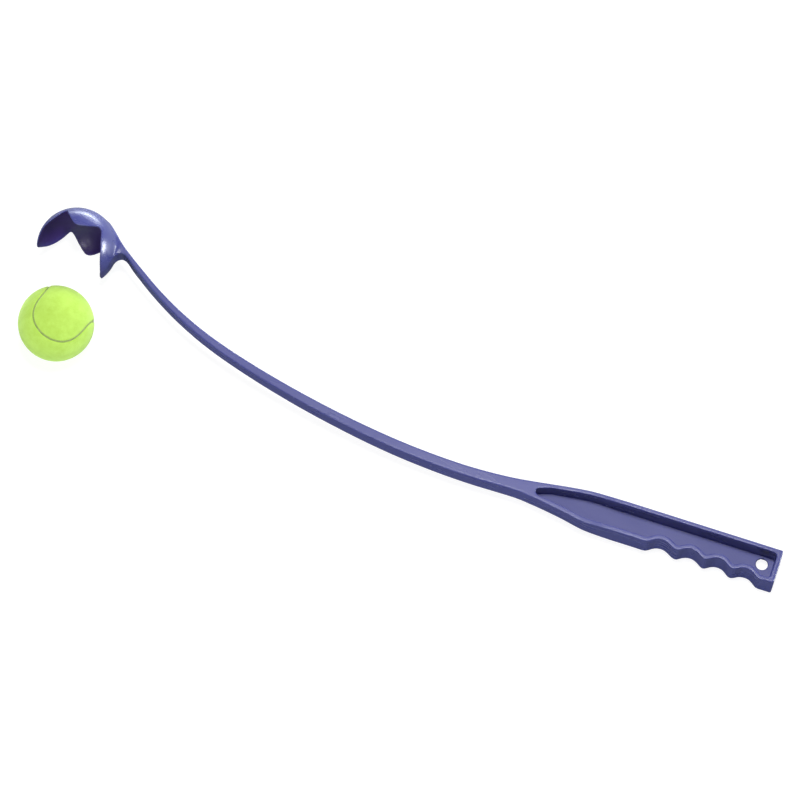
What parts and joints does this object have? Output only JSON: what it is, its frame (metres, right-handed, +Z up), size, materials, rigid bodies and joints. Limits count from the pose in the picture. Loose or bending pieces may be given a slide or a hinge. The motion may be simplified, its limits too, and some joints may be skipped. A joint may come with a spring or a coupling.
{
  "type": "dog ball thrower",
  "caption": "Long-handled dog ball thrower on its side: a lobed cup that snaps over a felt ball, a slim curved arm and a finger-grooved handle with a hang hole.",
  "frame": {"origin": "on the table under the middle of the whole object's box", "axes": "+X runs from the ball cup to the butt of the handle, +Y is the back of the arm's bow at the cup (the cup opens towards -Y and the finger grooves face -Y), +Z is up with the thrower lying on its side"},
  "size_m": [0.6912, 0.1364, 0.0667],
  "materials": {
    "thrower_plastic": "satin-gloss moulded plastic, purple-blue",
    "felt": "needle felt, lime green",
    "seam": "cement seam, grey-green",
    "core_rubber": "moulded rubber"
  },
  "bodies": {
    "thrower": {"ball_cup": "thrower_plastic", "throwing_arm": "thrower_plastic", "handle": "thrower_plastic"},
    "ball": {"felt_panel_a": "felt", "felt_panel_b": "felt", "seam_strip": "seam", "core_half_a": "core_rubber", "core_half_b": "core_rubber"}
  },
  "joints": [
    {"name": "ball_load", "type": "slide", "parent": "thrower", "child": "ball", "axis": [-0.247, 0.969, 0.0081], "range_m": [0, 0.07175], "deforming": ["ball_cup"]}
  ]
}
